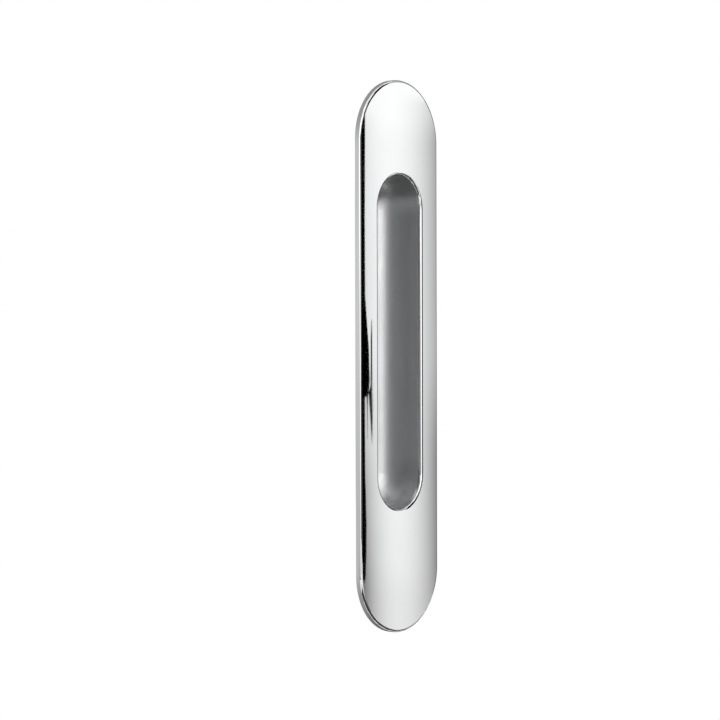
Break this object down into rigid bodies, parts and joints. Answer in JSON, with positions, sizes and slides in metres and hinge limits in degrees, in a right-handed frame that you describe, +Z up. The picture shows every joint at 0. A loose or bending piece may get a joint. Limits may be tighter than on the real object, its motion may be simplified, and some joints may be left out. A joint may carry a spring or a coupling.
{
  "type": "oval flush pull",
  "caption": "Oval flush pull for a sliding door: a polished, gently arched face plate with a deep satin finger cup let into its back.",
  "frame": {"origin": "middle of the plate's back face, which bears on the door, over the pocket that takes the cup", "axes": "+X across the plate, +Y into the door, +Z up the plate's length"},
  "size_m": [0.04, 0.02, 0.18],
  "materials": {
    "polished_chrome": "mirror polished chrome plate",
    "satin_steel": "fine satin, blasted"
  },
  "bodies": {
    "root": {"face_plate": "polished_chrome", "finger_cup": "satin_steel"}
  },
  "joints": []
}
